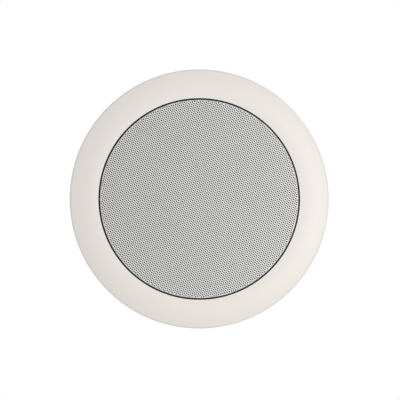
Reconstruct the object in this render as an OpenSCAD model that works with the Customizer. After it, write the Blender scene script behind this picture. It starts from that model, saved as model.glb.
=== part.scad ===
/* [Bezel] */
// Outer diameter of the bezel ring
bezel_d = 199; // [196:0.5:206]
// Height of the ceiling seat above the front plane
bezel_h = 6; // [5.5:0.1:8]
// Wall of the bezel's crowned skin
skin_t = 2.2; // [1.8:0.1:2.6]
// Radius of the crown across the ring
crown_r = 43; // [36:1:60]
// Radius of the rounded outer edge
edge_r = 2.4; // [1.5:0.1:3]
// Width of the outer rim that lies on the ceiling
seat_w = 2.2; // [1.6:0.1:3]
// Number of ribs in the hollow back of the ring
rib_count = 24; // [12:4:36]
// Thickness of each rib
rib_t = 1.4; // [1:0.1:2]

/* [Collar and driver ledge] */
// Outer diameter of the collar that enters the ceiling cut-out
collar_d = 164; // [162:0.5:166]
// Wall of the collar
collar_wall = 2.2; // [1.8:0.1:2.6]
// Height of the collar above the ceiling seat
collar_h = 14; // [10:0.5:18]
// Diameter of the round opening in front of the cone
opening_d = 136; // [134:0.5:137]
// Thickness of the ledge that carries grille and driver
ledge_t = 2.4; // [2:0.1:3]
// Diameter of the circle of the driver screws
screw_circle_d = 143; // [142:0.5:144]
// Radius of each screw boss
boss_r = 2.9; // [2.5:0.1:3]
// Length of each boss in front of the ledge
boss_h = 3; // [2.2:0.1:3.2]

/* [Grille] */
// Outer diameter of the grille's turned rim
grille_d = 152.2; // [151.6:0.1:152.6]
// Gap between grille and bezel all round
grille_gap = 1.2; // [0.8:0.1:1.5]
// Depth of the grille's face behind the front plane
grille_recess = 1.7; // [1.3:0.1:2.2]
// Length of the turned rim from face to edge
grille_rim_h = 4.7; // [4.4:0.1:5.2]
// Sheet thickness of the grille
grille_t = 0.8; // [0.6:0.1:1]
// Outer radius of the bend at the rim
grille_bend_r = 1.8; // [1.4:0.1:2.2]
// Width of the plain rim round the perforated field
field_margin = 3.1; // [2.6:0.1:5]
// Distance between neighbouring holes
hole_pitch = 6.9; // [6.8:0.1:8]
// Width of each hole from corner to corner
hole_w = 4.8; // [3.6:0.1:5]
// Direction of the rows of holes, in degrees
hole_angle = 44.7; // [0:0.1:60]

/* [Driver basket] */
// Outer diameter of the driver's flange
driver_d = 152.4; // [152:0.1:153]
// Sheet thickness of the basket
basket_t = 0.8; // [0.6:0.1:1]
// Thickness of the foam gasket under the flange
gasket_t = 1; // [0.6:0.1:1.4]
// Depth of the recess that the cone edge is glued in
land_depth = 1.2; // [1:0.1:1.4]
// Distance from that recess to the circle of the screws
land_margin = 4.7; // [4.6:0.1:5]
// Depth of the steep wall behind the recess
throat_h = 6; // [5:0.5:7]
// Depth from the flange to the spider landing
spider_land_h = 25.4; // [24.5:0.1:27]
// Outer radius of the spider landing
spider_land_r = 37.5; // [37:0.1:39]
// Inner radius of the spider landing
spider_land_in_r = 30.2; // [29.5:0.1:31]
// Depth of the cup behind the spider landing
cup_h = 2.8; // [2.6:0.1:3.4]
// Number of windows in the basket
window_count = 8; // [6:1:9]
// Width of each window
window_w = 19; // [15:0.5:19.5]
// Length of each window along the slope
window_l = 20; // [16:0.5:21]
// Corner radius of each window
window_r = 5; // [3:0.5:6]
// Shank diameter of the driver screws
driver_screw_d = 2.9; // [2.5:0.1:3.2]
// Head diameter of the driver screws
driver_head_d = 5.4; // [4.8:0.1:5.6]
// Head height of the driver screws
driver_head_h = 1.9; // [1.5:0.1:2.4]

/* [Cone assembly] */
// Diameter of the voice coil former, inside
former_d = 25.4; // [25:0.1:25.8]
// Wall of the former
former_t = 0.15; // [0.12:0.01:0.2]
// Build of the copper winding on the former
coil_build = 0.5; // [0.4:0.01:0.55]
// Height of the copper winding
coil_h = 8; // [6:0.5:9]
// Running gap on each side of the moving coil
coil_gap = 0.35; // [0.32:0.01:0.45]
// Thickness of the paper cone
cone_t = 0.6; // [0.5:0.05:0.8]
// Width from the cone's edge to the rim of the recess
cone_margin = 9.4; // [9:0.1:10]
// Depth of the cone from edge to neck
cone_h = 15; // [14:0.5:16]
// Radius of the whizzer cone at its mouth
whizzer_r = 25; // [20:0.5:28]
// Depth of the whizzer cone
whizzer_h = 10; // [8:0.5:11]
// Paper thickness of the whizzer cone and dust cap
whizzer_t = 0.4; // [0.35:0.05:0.6]
// Rise of the dust cap's dome
cap_h = 4.5; // [3:0.5:6]
// Cloth thickness of the surround and the spider
cloth_t = 0.5; // [0.4:0.05:0.6]
// Number of corrugations in the surround
surround_waves = 3; // [2:1:4]
// Number of corrugations in the spider
spider_waves = 5; // [3:1:6]
// Height of the corrugations
wave_h = 0.55; // [0.4:0.05:0.7]
// Gap that a glue line fills
glue_gap = 0.15; // [0.1:0.05:0.2]

/* [Magnet system] */
// Diameter of the two steel plates
plate_d = 58; // [54:0.5:60]
// Thickness of each steel plate
plate_t = 3; // [2.5:0.1:3.5]
// Outer diameter of the ferrite ring
magnet_d = 70; // [64:0.5:71]
// Inner diameter of the ferrite ring
magnet_in_d = 32; // [31:0.5:34]
// Thickness of the ferrite ring
magnet_t = 10; // [8:0.5:12]

/* [Rear bracket and transformer] */
// Sheet thickness of the bracket
bracket_t = 1.2; // [1:0.1:1.5]
// Width of the bracket over the magnet
bracket_w = 30; // [24:0.5:34]
// Drop from the magnet's back to the bracket's shelves
bracket_drop = 12.6; // [12:0.1:13]
// Clear space between the magnet and each upright of the bracket
upright_gap = 2.4; // [2:0.1:3]
// Width of the transformer shelf
shelf_w = 52; // [50:0.5:56]
// Width of the transformer's laminations
core_w = 32; // [30:0.5:34]
// Height of the laminations
core_h = 25.1; // [24:0.5:27]
// Thickness of the stack of laminations
core_stack = 13; // [11:0.5:14]
// Width of the core's outer legs and yokes
core_leg = 5.3; // [5:0.1:5.5]
// How far the winding stands out of the core
coil_out = 5.6; // [4.5:0.1:6]
// Sheet thickness of the strap round the core
strap_t = 0.8; // [0.6:0.1:1]
// Length of each foot of the strap
strap_foot = 8; // [7:0.1:9]
// Shank diameter of the bracket's small screws
small_screw_d = 2.9; // [2.5:0.1:3.2]
// Head diameter of those screws
small_head_d = 5.2; // [4.6:0.1:5.4]
// Head height of those screws
small_head_h = 1.9; // [1.5:0.1:2.2]
// Shank diameter of the screw in the pole
pole_screw_d = 4; // [3:0.1:5]

/* [Terminal block] */
// Length of the block's body
block_l = 30; // [29:0.5:34]
// Depth of the block
block_w = 15; // [14:0.5:17]
// Height of the block
block_h = 13; // [12:0.5:15]
// Distance between neighbouring wire entries
entry_pitch = 7; // [6.8:0.1:7.4]
// Diameter of each wire entry
entry_d = 2.8; // [2.4:0.1:3.2]
// Depth of each wire entry
entry_depth = 9; // [7:0.5:11]
// Length of each screw ear
ear_l = 7; // [6.5:0.1:8]

/* [Clamps] */
// Distance from the centre to each clamp pin
pin_x = 77; // [76.8:0.1:77.2]
// Height of the clamp pins above the ceiling seat
pin_h = 13; // [12.6:0.1:14]
// Diameter of the clamp pins
pin_d = 2.5; // [2:0.1:2.8]
// Running clearance of arm and pin, on the radius
pin_clear = 0.05; // [0.03:0.01:0.08]
// Length of each arm from pin to tip
arm_l = 20; // [18:0.5:21]
// Width of each arm
arm_w = 15; // [13:0.5:16]
// Sheet thickness of the arms
arm_t = 1; // [0.8:0.1:1.2]
// Downward slope of an arm at rest, in degrees
arm_rest = 20; // [14:1:22]
// Clear space on each side of an arm
arm_side_gap = 1; // [0.5:0.1:1.4]
// Thickness of the cheeks that hold a pin
cheek_t = 2.5; // [2:0.1:3]
// Radius of those cheeks round the pin
cheek_r = 2.6; // [2.3:0.1:2.8]
// Wire diameter of the torsion springs
wire_d = 1; // [0.8:0.1:1.1]
// Turns of each torsion spring
spring_turns = 4.5; // [3.5:1:5.5]

/* [Leads] */
// Diameter of the insulated hook-up leads
lead_d = 1.6; // [1.2:0.1:1.8]
// Diameter of the tinsel leads
tinsel_d = 0.9; // [0.8:0.1:1.1]

/* [Hidden] */
$fn = 96;
eps = 0.01;

// Heights of the stacked pieces, counted from the front plane
grille_edge_z = grille_recess + grille_rim_h;
baffle_z = grille_edge_z + ledge_t;
flange_z = baffle_z + gasket_t;
land_z = flange_z + land_depth;
spider_z = flange_z + spider_land_h;
bottom_z = spider_z + cup_h;
plate_z = bottom_z + basket_t;
magnet_z = plate_z + plate_t;
yoke_z = magnet_z + magnet_t;
back_z = yoke_z + plate_t;
shelf_z = back_z + bracket_t - bracket_drop;
pin_z = bezel_h + pin_h;

// Radii and distances that follow from the sizes above
bezel_r = bezel_d / 2;
land_r = screw_circle_d / 2 - land_margin;
cone_r = land_r - cone_margin;
upright_y = magnet_d / 2 + upright_gap;
grille_r = grille_d / 2;
field_d = grille_d - 2 * field_margin;
mouth_r = grille_r + grille_gap;
collar_r = collar_d / 2;
collar_in_r = collar_r - collar_wall;
crest_r = (mouth_r + bezel_r) / 2 - 0.8;
former_in_r = former_d / 2;
former_r = former_in_r + former_t;
coil_r = former_r + coil_build;
bore_r = coil_r + coil_gap;
pole_r = former_in_r - coil_gap;
neck_r = former_r + glue_gap;

// Unit vector, its left normal, and the mitred offset at a point of a path
function unit(v) = v / norm(v);
function left(v) = [-v[1], v[0]];
function mitre(p, i) =
    let (
        a = i > 0 ? unit(p[i] - p[i - 1]) : unit(p[1] - p[0]),
        b = i < len(p) - 1 ? unit(p[i + 1] - p[i]) : a,
        n = left(unit(a + b))
    )
    n / (n * left(b));

// Outline of a sheet of even thickness that lies to the left of a path
function sheet(p, t) = concat(p, [for (i = [len(p) - 1:-1:0]) p[i] + t * mitre(p, i)]);

// Points on an arc
function arc(c, r, a0, a1, n) = [for (k = [0:n]) c + r * [cos(a0 + (a1 - a0) * k / n), sin(a0 + (a1 - a0) * k / n)]];

// Height of the crowned front at a radius
function crown(r) = crown_r - sqrt(crown_r * crown_r - (r - crest_r) * (r - crest_r));

// Round tube swept along points, its rings turned about a reference direction
module tube(p, d, ref, sides = 8) {
    n = len(p);
    function along(i) = unit(p[min(i + 1, n - 1)] - p[max(i - 1, 0)]);
    rings = [for (i = [0:n - 1])
        let (u = unit(cross(along(i), ref)), v = cross(along(i), u))
        for (k = [0:sides - 1]) p[i] + d / 2 * (cos(360 * k / sides) * u + sin(360 * k / sides) * v)];
    walls = [for (i = [0:n - 2], k = [0:sides - 1])
        let (a = i * sides + k, b = i * sides + (k + 1) % sides)
        [a, b, b + sides, a + sides]];
    ends = [[for (k = [sides - 1:-1:0]) k], [for (k = [0:sides - 1]) (n - 1) * sides + k]];
    polyhedron(rings, concat(walls, ends), convexity = 6);
}

// Rectangle with round corners, centred
module rounded(w, h, r) {
    square([w - 2 * r, h], center = true);
    square([w, h - 2 * r], center = true);
    for (x = [-1, 1], y = [-1, 1]) translate([x * (w / 2 - r), y * (h / 2 - r)]) circle(r, $fn = 32);
}

// Pan-head screw that points down, with its head's underside at the origin
module pan_screw(shank_d, shank_l, head_d, head_h) {
    slot = head_d * 0.14;
    translate([0, 0, -shank_l]) cylinder(d = shank_d, h = shank_l + eps, $fn = 32);
    difference() {
        union() {
            cylinder(d = head_d, h = head_h * 0.5, $fn = 32);
            translate([0, 0, head_h * 0.5]) cylinder(d1 = head_d, d2 = head_d * 0.68, h = head_h * 0.5, $fn = 32);
        }
        for (a = [0, 90]) rotate([0, 0, a])
            translate([-head_d * 0.28, -slot / 2, head_h * 0.45]) cube([head_d * 0.56, slot, head_h]);
    }
}

// One piece of moulded plastic: crowned ring, ledge, collar, ribs, bosses and clamp towers
skin_in_r = bezel_r - seat_w;
ring_in_r = collar_r;
edge_c = [bezel_r - edge_r, crown(bezel_r - edge_r) + edge_r];
ring_steps = 14;
front_line = [for (k = [0:ring_steps]) let (r = mouth_r + (edge_c[0] - mouth_r) * k / ring_steps) [r, crown(r)]];
hollow_line = [for (k = [ring_steps:-1:0])
    let (r = ring_in_r + (skin_in_r - ring_in_r) * k / ring_steps) [r, crown(r) + skin_t]];
tower_w = arm_w + 2 * arm_side_gap;
coil_mean_r = pin_d / 2 + 0.35 + wire_d / 2 + 0.25;
arm_half = 1.6;
stop_gap = 0.3;
stop_drop = tan(arm_rest) * (collar_r - pin_x) + arm_half / cos(arm_rest) + stop_gap;
stop_z = pin_z - stop_drop;
spring_floor_z = pin_z - coil_mean_r - wire_d / 2 - 0.1;
tower_floor_t = 2;
floor_leg_l = 1.6;
floor_in_x = pin_x - coil_mean_r - wire_d / 2 - floor_leg_l;
cheek_foot_x = driver_d / 2 + 0.4;
cheek_step_z = flange_z + basket_t + 0.8;

module ring_profile() {
    polygon(concat(
        [[opening_d / 2, grille_edge_z], [mouth_r, grille_edge_z]],
        front_line,
        arc(edge_c, edge_r, -75, 0, 5),
        [[bezel_r, bezel_h], [skin_in_r, bezel_h]],
        hollow_line,
        [[collar_r, bezel_h + collar_h - 0.6], [collar_r - 0.6, bezel_h + collar_h],
         [collar_in_r, bezel_h + collar_h], [collar_in_r, baffle_z], [opening_d / 2, baffle_z]]
    ));
}

module clamp_tower() {
    side = tower_w / 2;
    for (s = [-1, 1]) translate([0, s > 0 ? side + cheek_t : -side, 0]) rotate([90, 0, 0])
        linear_extrude(cheek_t) difference() {
            union() {
                translate([pin_x, pin_z]) circle(cheek_r, $fn = 48);
                translate([cheek_foot_x, baffle_z - 0.5]) square([collar_in_r + 0.6 - cheek_foot_x, pin_z - baffle_z - 1]);
                translate([pin_x - cheek_r, cheek_step_z]) square([2 * cheek_r, pin_z - cheek_step_z]);
            }
            translate([pin_x, pin_z]) circle(pin_d / 2 + pin_clear, $fn = 48);
        }
    translate([floor_in_x, -side - eps, stop_z - tower_floor_t])
        cube([collar_in_r + 1 - floor_in_x, tower_w + 2 * eps, tower_floor_t]);
    translate([floor_in_x, -side - eps, stop_z - eps])
        cube([pin_x + 0.5 - floor_in_x, tower_w + 2 * eps, spring_floor_z - stop_z + eps]);
}

module bezel_frame() {
    color([0.95, 0.93, 0.89]) difference() {
        union() {
            rotate_extrude($fn = 180) ring_profile();
            for (k = [0:rib_count - 1]) rotate([0, 0, 360 * (k + 0.5) / rib_count])
                translate([ring_in_r - 0.8, -rib_t / 2, skin_t * 0.9])
                    cube([skin_in_r - ring_in_r + 1.6, rib_t, bezel_h - skin_t * 0.9]);
            for (k = [0:3]) rotate([0, 0, 45 + 90 * k])
                translate([screw_circle_d / 2, 0, grille_edge_z - boss_h])
                    cylinder(r = boss_r, h = boss_h + ledge_t / 2, $fn = 48);
            for (a = [0, 180]) rotate([0, 0, a]) clamp_tower();
        }
        for (k = [0:3]) rotate([0, 0, 45 + 90 * k])
            translate([screw_circle_d / 2, 0, grille_edge_z - boss_h + 1])
                cylinder(d = driver_screw_d + 0.1, h = boss_h + ledge_t, $fn = 32);
        for (a = [0, 180]) rotate([0, 0, a])
            translate([pin_x + 0.6, -tower_w / 2, stop_z]) cube([8, tower_w, collar_h + 6]);
    }
}

// Perforated steel disc with its edge turned back
hole_steps = ceil(field_d / 2 / hole_pitch) + 1;
module hole_field() {
    for (i = [-hole_steps:hole_steps], j = [-hole_steps:hole_steps]) {
        x = hole_pitch * (i + j / 2);
        y = hole_pitch * j * sqrt(3) / 2;
        if (norm([x, y]) + hole_w / 2 < field_d / 2) translate([x, y]) circle(d = hole_w, $fn = 6);
    }
}

module grille() {
    bend = arc([grille_r - grille_bend_r, grille_recess + grille_bend_r], grille_bend_r, -90, 0, 6);
    color([0.78, 0.79, 0.78]) union() {
        translate([0, 0, grille_recess]) linear_extrude(grille_t) difference() {
            circle(d = field_d + 0.4, $fn = 180);
            rotate([0, 0, hole_angle]) hole_field();
        }
        rotate_extrude($fn = 180)
            polygon(sheet(concat([[field_d / 2, grille_recess]], bend, [[grille_r, grille_edge_z]]), grille_t));
    }
}

// Soft ring between the ledge and the driver's flange
module driver_gasket() {
    color([0.16, 0.16, 0.17]) translate([0, 0, baffle_z]) linear_extrude(gasket_t) difference() {
        circle(r = driver_d / 2 - 0.4, $fn = 180);
        circle(r = land_r + 1.8, $fn = 180);
        for (k = [0:3]) rotate([0, 0, 45 + 90 * k]) translate([screw_circle_d / 2, 0])
            circle(d = driver_screw_d + 0.8, $fn = 32);
    }
}

// Pressed steel chassis: flange, recess, steep throat, windowed slope, spider landing and cup
wall_top_r = land_r - 4.3;
basket_path = [[bore_r + 1, bottom_z], [spider_land_in_r - 1, bottom_z], [spider_land_in_r, spider_z],
    [spider_land_r, spider_z], [wall_top_r, land_z + throat_h], [wall_top_r + 0.8, land_z],
    [land_r, land_z], [land_r + 0.6, flange_z], [driver_d / 2, flange_z]];
slope_mid = (basket_path[3] + basket_path[4]) / 2;
slope_dir = unit(basket_path[4] - basket_path[3]);
slope_angle = atan2(slope_dir[1], slope_dir[0]);

module basket() {
    color([0.12, 0.12, 0.13]) difference() {
        rotate_extrude($fn = 180) polygon(sheet(basket_path, basket_t));
        for (k = [0:window_count - 1]) rotate([0, 0, 360 * (k + 0.5) / window_count])
            translate([slope_mid[0], 0, slope_mid[1]]) rotate([0, -slope_angle, 0])
                translate([0, 0, -6]) linear_extrude(12) rounded(window_l, window_w, window_r);
        for (k = [0:3]) rotate([0, 0, 45 + 90 * k]) translate([screw_circle_d / 2, 0, flange_z - 1])
            cylinder(d = driver_screw_d + 0.4, h = 4, $fn = 32);
    }
}

module driver_screws() {
    color([0.35, 0.35, 0.36]) for (k = [0:3]) rotate([0, 0, 45 + 90 * k])
        translate([screw_circle_d / 2, 0, flange_z + basket_t])
            pan_screw(driver_screw_d, basket_t + gasket_t + ledge_t + boss_h - 1.5, driver_head_d, driver_head_h);
}

// Paper cone with a slightly flared wall, seen as a height over the radius
cone_edge_z = land_z + 3.8;
function cone_z(r) = cone_edge_z + cone_h * (1 - pow((r - neck_r) / (cone_r - neck_r), 0.86));
cone_path = [for (k = [0:8]) let (r = neck_r + (cone_r - neck_r) * k / 8) [r, cone_z(r)]];
module cone() {
    color([0.10, 0.10, 0.11]) rotate_extrude($fn = 120) polygon(sheet(cone_path, cone_t));
}

// Corrugated cloth from one point of the section to another
function waves(a, b, n, h) = [for (k = [0:2 * n]) a + (b - a) * k / (2 * n)
    + (k % 2 == 1 ? h : 0) * left(unit(b - a))];

surround_lip = cloth_t + glue_gap;
surround_in_r = cone_r - 2.6;
surround_path = concat(
    [[surround_in_r, cone_z(surround_in_r) - surround_lip]],
    waves([cone_r + 0.4, cone_z(cone_r) - surround_lip], [wall_top_r + 1.2, land_z - cloth_t - 0.3], surround_waves, -wave_h),
    [[land_r - 0.2, land_z - cloth_t]]
);
module surround() {
    color([0.17, 0.16, 0.15]) rotate_extrude($fn = 120) polygon(sheet(surround_path, cloth_t));
}

whizzer_z = cone_z(neck_r) - 1.6;
module whizzer_cone() {
    path = [for (k = [0:6]) let (f = k / 6)
        [neck_r + (whizzer_r - neck_r) * f, whizzer_z - whizzer_h * pow(f, 0.8)]];
    color([0.72, 0.66, 0.54]) rotate_extrude($fn = 96) polygon(sheet(path, whizzer_t));
}

former_z = whizzer_z - 2;
coil_mid_z = plate_z + plate_t / 2;
module dust_cap() {
    sphere_r = (pow(former_in_r, 2) + cap_h * cap_h) / (2 * cap_h);
    half = asin(former_in_r / sphere_r);
    dome = arc([0, former_z - cap_h + sphere_r], sphere_r, -90, -90 + half, 7);
    color([0.09, 0.09, 0.10]) rotate_extrude($fn = 64)
        polygon(concat([for (p = dome) [p[0], p[1] - whizzer_t]], [[former_r, former_z - whizzer_t], [former_r, former_z]],
            [for (k = [len(dome) - 1:-1:0]) dome[k]]));
}

module coil_former() {
    color([0.62, 0.50, 0.32]) translate([0, 0, former_z]) difference() {
        cylinder(r = former_r, h = coil_mid_z + coil_h / 2 + 0.6 - former_z);
        translate([0, 0, -1]) cylinder(r = former_in_r, h = 60);
    }
}

module voice_coil() {
    color([0.72, 0.36, 0.16]) translate([0, 0, coil_mid_z - coil_h / 2]) difference() {
        cylinder(r = coil_r, h = coil_h);
        translate([0, 0, -1]) cylinder(r = former_r + 0.02, h = coil_h + 2);
    }
}

// Corrugated disc that centres the coil, glued in the basket's landing
spider_path = concat(
    waves([neck_r, spider_z - cloth_t - 2.8], [spider_land_in_r + 0.8, spider_z - cloth_t - 0.2], spider_waves, -wave_h),
    [[spider_land_in_r + 1.6, spider_z - cloth_t], [spider_land_r - 1.2, spider_z - cloth_t]]
);
module spider() {
    color([0.80, 0.62, 0.30]) rotate_extrude($fn = 96) polygon(sheet(spider_path, cloth_t));
}

module top_plate() {
    color([0.62, 0.63, 0.65]) translate([0, 0, plate_z]) difference() {
        cylinder(d = plate_d, h = plate_t, $fn = 120);
        translate([0, 0, -1]) cylinder(r = bore_r, h = plate_t + 2);
    }
}

module magnet() {
    color([0.20, 0.20, 0.21]) rotate_extrude($fn = 120) polygon([
        [magnet_in_d / 2, magnet_z], [magnet_d / 2 - 0.8, magnet_z], [magnet_d / 2, magnet_z + 0.8],
        [magnet_d / 2, yoke_z - 0.8], [magnet_d / 2 - 0.8, yoke_z], [magnet_in_d / 2, yoke_z]]);
}

module yoke() {
    color([0.62, 0.63, 0.65]) difference() {
        rotate_extrude($fn = 120) polygon([
            [0, plate_z], [pole_r - 0.5, plate_z], [pole_r, plate_z + 0.5], [pole_r, yoke_z],
            [plate_d / 2, yoke_z], [plate_d / 2, back_z - 0.6], [plate_d / 2 - 0.6, back_z], [0, back_z]]);
        translate([0, 0, back_z - 9]) cylinder(d = pole_screw_d + 0.1, h = 10, $fn = 32);
    }
}

// Lead board on one leg of the basket, with a lug over the window on each side
tag_angle = 135;
tag_l = 26;
tag_w = 9;
tag_t = 1.5;
tag_lift = basket_t + 0.05;
tag_y = tag_l / 2 - 3.5;
module on_slope(a) {
    rotate([0, 0, a]) translate([slope_mid[0], 0, slope_mid[1]]) rotate([0, -slope_angle, 0]) children();
}

module tag_board() {
    color([0.52, 0.32, 0.16]) on_slope(tag_angle) translate([0, 0, tag_lift]) difference() {
        translate([0, 0, 0.3]) linear_extrude(tag_t) rounded(tag_w, tag_l, 1);
        for (s = [-1, 1]) translate([0, s * tag_y, -1]) cylinder(d = 2.1, h = 5, $fn = 32);
    }
}

module solder_tags() {
    color([0.80, 0.80, 0.78]) on_slope(tag_angle) for (s = [-1, 1])
        translate([0, s * tag_y, tag_lift + 0.3 + tag_t]) {
            linear_extrude(0.4) union() {
                rounded(6, 3.6, 1);
                translate([4, 0]) rounded(5, 2, 0.8);
            }
            translate([0, 0, -tag_t]) cylinder(d = 2, h = tag_t + 1, $fn = 32);
            translate([0, 0, 0.4]) cylinder(d = 3, h = 0.7, $fn = 32);
        }
}

// Points given as radius, angle and height, turned into the shared frame
function polar(r, a, z) = [r * cos(a), r * sin(a), z];
module tinsel_leads() {
    color([0.74, 0.55, 0.36]) for (s = [-1, 1])
        tube([polar(30, tag_angle + s * 24, cone_z(30) + cone_t + 0.9), polar(32, tag_angle + s * 23, cone_z(30) + 4),
            polar(36, tag_angle + s * 21, cone_z(30) + 7), polar(41, tag_angle + s * 18, cone_z(30) + 8),
            polar(46, tag_angle + s * 15, cone_z(30) + 6.5), polar(49, tag_angle + s * 12.5, slope_mid[1] + 0.5),
            polar(50.5, tag_angle + s * 11.5, slope_mid[1] - 0.9)], tinsel_d, [0, 0, 1], 6);
}

// Pressed bracket over the magnet, with a shelf for the transformer and one for the terminal block
block_y = upright_y + bracket_t + 2 + block_w / 2;
core_y = upright_y + 2 + coil_out + core_stack / 2;
shelf_far = core_y + core_stack / 2 + 3;
block_far = block_y + block_w / 2 + 2;
bracket_path = [[-block_far, shelf_z], [-upright_y, shelf_z], [-upright_y + 1.6, back_z],
    [upright_y - 1.6, back_z], [upright_y, shelf_z], [shelf_far, shelf_z]];
foot_x = core_w / 2 + strap_t + strap_foot / 2;
ear_x = block_l / 2 + ear_l / 2;

module bracket_outline() {
    translate([-bracket_w / 2, -upright_y - 3]) square([bracket_w, 2 * upright_y + 6]);
    translate([0, (upright_y + 1 + shelf_far) / 2]) rounded(shelf_w, shelf_far - upright_y - 1, 3);
    translate([0, -(upright_y + 1 + block_far) / 2]) rounded(2 * ear_x + ear_l, block_far - upright_y - 1, 3);
}

module rear_bracket() {
    color([0.72, 0.73, 0.72]) difference() {
        intersection() {
            rotate([90, 0, 90]) translate([0, 0, -shelf_w]) linear_extrude(2 * shelf_w)
                polygon(sheet(bracket_path, bracket_t));
            translate([0, 0, shelf_z - 5]) linear_extrude(bracket_drop + 10) bracket_outline();
        }
        translate([0, 0, back_z - 1]) cylinder(d = pole_screw_d + 0.4, h = 5, $fn = 32);
        for (s = [-1, 1]) translate([s * foot_x, core_y, shelf_z - 1]) cylinder(d = small_screw_d + 0.1, h = 5, $fn = 32);
        for (s = [-1, 1]) translate([s * ear_x, -block_y, shelf_z - 1]) cylinder(d = small_screw_d + 0.1, h = 5, $fn = 32);
    }
}

module bracket_screw() {
    color([0.70, 0.70, 0.70]) translate([0, 0, back_z + bracket_t]) pan_screw(pole_screw_d, 8, 8, 2.8);
}

// Line transformer: laminated core, bobbin, winding and strap
core_z = shelf_z + bracket_t;
window_x = (core_w - 4 * core_leg) / 2;
module transformer_core() {
    color([0.30, 0.29, 0.29]) translate([0, core_y + core_stack / 2, core_z]) rotate([90, 0, 0])
        linear_extrude(core_stack) difference() {
            translate([-core_w / 2, 0]) square([core_w, core_h]);
            for (s = [-1, 1]) translate([s * (core_leg + window_x / 2), core_h / 2])
                square([window_x, core_h - 2 * core_leg], center = true);
        }
}

bobbin_h = core_h - 2 * core_leg - 0.4;
bobbin_x = 2 * core_leg + 2 * window_x - 0.4;
bobbin_y = core_stack + 2 * coil_out;
module bobbin_flange() {
    linear_extrude(0.9) difference() {
        rounded(bobbin_x, bobbin_y, 1.2);
        square([2 * core_leg + 0.3, core_stack + 0.3], center = true);
    }
}

module transformer_bobbin() {
    color([0.90, 0.88, 0.80]) translate([0, core_y, core_z + core_leg + 0.2]) {
        bobbin_flange();
        translate([0, 0, bobbin_h - 0.9]) bobbin_flange();
        translate([0, 0, 0.5]) linear_extrude(bobbin_h - 1) difference() {
            square([2 * core_leg + 1.7, core_stack + 1.7], center = true);
            square([2 * core_leg + 0.3, core_stack + 0.3], center = true);
        }
    }
}

module transformer_winding() {
    color([0.78, 0.62, 0.22]) translate([0, core_y, core_z + core_leg + 1.2]) linear_extrude(bobbin_h - 2) difference() {
        rounded(bobbin_x - 0.8, bobbin_y - 1.2, 2);
        square([2 * core_leg + 1.9, core_stack + 1.9], center = true);
    }
}

module transformer_strap() {
    leg = core_w / 2;
    path = [[-foot_x - strap_foot / 2, core_z], [-leg, core_z], [-leg, core_z + core_h],
        [leg, core_z + core_h], [leg, core_z], [foot_x + strap_foot / 2, core_z]];
    color([0.74, 0.75, 0.76]) difference() {
        translate([0, core_y + core_stack / 2 - 1, 0]) rotate([90, 0, 0])
            linear_extrude(core_stack - 2) polygon(sheet(path, strap_t));
        for (s = [-1, 1]) translate([s * foot_x, core_y, core_z - 1]) cylinder(d = small_screw_d + 0.2, h = 5, $fn = 32);
    }
}

module transformer_screws() {
    color([0.70, 0.70, 0.70]) for (s = [-1, 1]) translate([s * foot_x, core_y, core_z + strap_t])
        pan_screw(small_screw_d, 5, small_head_d, small_head_h);
}

// Push-in block with four wire entries that face outwards, and release slots on top
module terminal_block() {
    color([0.88, 0.88, 0.86]) translate([0, -block_y, core_z]) difference() {
        union() {
            translate([-block_l / 2, -block_w / 2, 0]) cube([block_l, block_w, block_h]);
            translate([-ear_x - ear_l / 2, -4, 0]) cube([2 * ear_x + ear_l, 8, 3]);
        }
        for (k = [-1.5:1:1.5]) translate([k * entry_pitch, 0, 0]) {
            translate([0, -block_w / 2 - 1, block_h * 0.42]) rotate([-90, 0, 0])
                cylinder(d = entry_d, h = entry_depth + 1, $fn = 32);
            translate([-1.3, -block_w / 2 + 3, block_h - 2.5]) cube([2.6, 3.4, 4]);
        }
        for (s = [-1, 1]) translate([s * ear_x, 0, -1]) cylinder(d = small_screw_d + 0.2, h = 6, $fn = 32);
        translate([-block_l / 2 - 1, block_w / 2 - 2, block_h - 2]) cube([block_l + 2, 3, 3]);
    }
}

module terminal_screws() {
    color([0.70, 0.70, 0.70]) for (s = [-1, 1]) translate([s * ear_x, -block_y, core_z + 3])
        pan_screw(small_screw_d, 7, small_head_d, small_head_h);
}

// Insulated leads: two from the block to the transformer, two from the transformer to the lead board
block_top = core_z + block_h;
lead_top = back_z + bracket_t + lead_d / 2 + 0.3;
block_back_y = -block_y + block_w / 2;
coil_face_y = core_y - bobbin_y / 2;
tag_leads = [[[-7, coil_face_y + 0.4, lead_top + 0.2], [-7.4, coil_face_y - 1.4, lead_top + 0.3],
    [-9, upright_y - 1.8, lead_top + 0.6], [-15.4, upright_y - 3.4, lead_top + 0.5], [-19, upright_y - 4.4, lead_top - 2.2],
    [-24, 33, 47], [-30, 38, 38], [-33.6, 43, 31], [-33.4, 45.6, 27.6], [-33, 46.2, 26.3]],
    [[-4, coil_face_y + 0.4, lead_top + 0.2], [-4.2, coil_face_y - 1.4, lead_top + 0.3],
    [-5.6, upright_y - 3.6, lead_top + 0.2], [-10, upright_y - 6.2, lead_top], [-16, upright_y - 7.4, lead_top],
    [-20.5, upright_y - 7.8, lead_top - 2.6], [-27, 31.5, 46], [-36, 31, 37], [-43, 31.6, 31],
    [-45.8, 32.6, 27.6], [-46.3, 33, 26.3]]];

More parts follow.
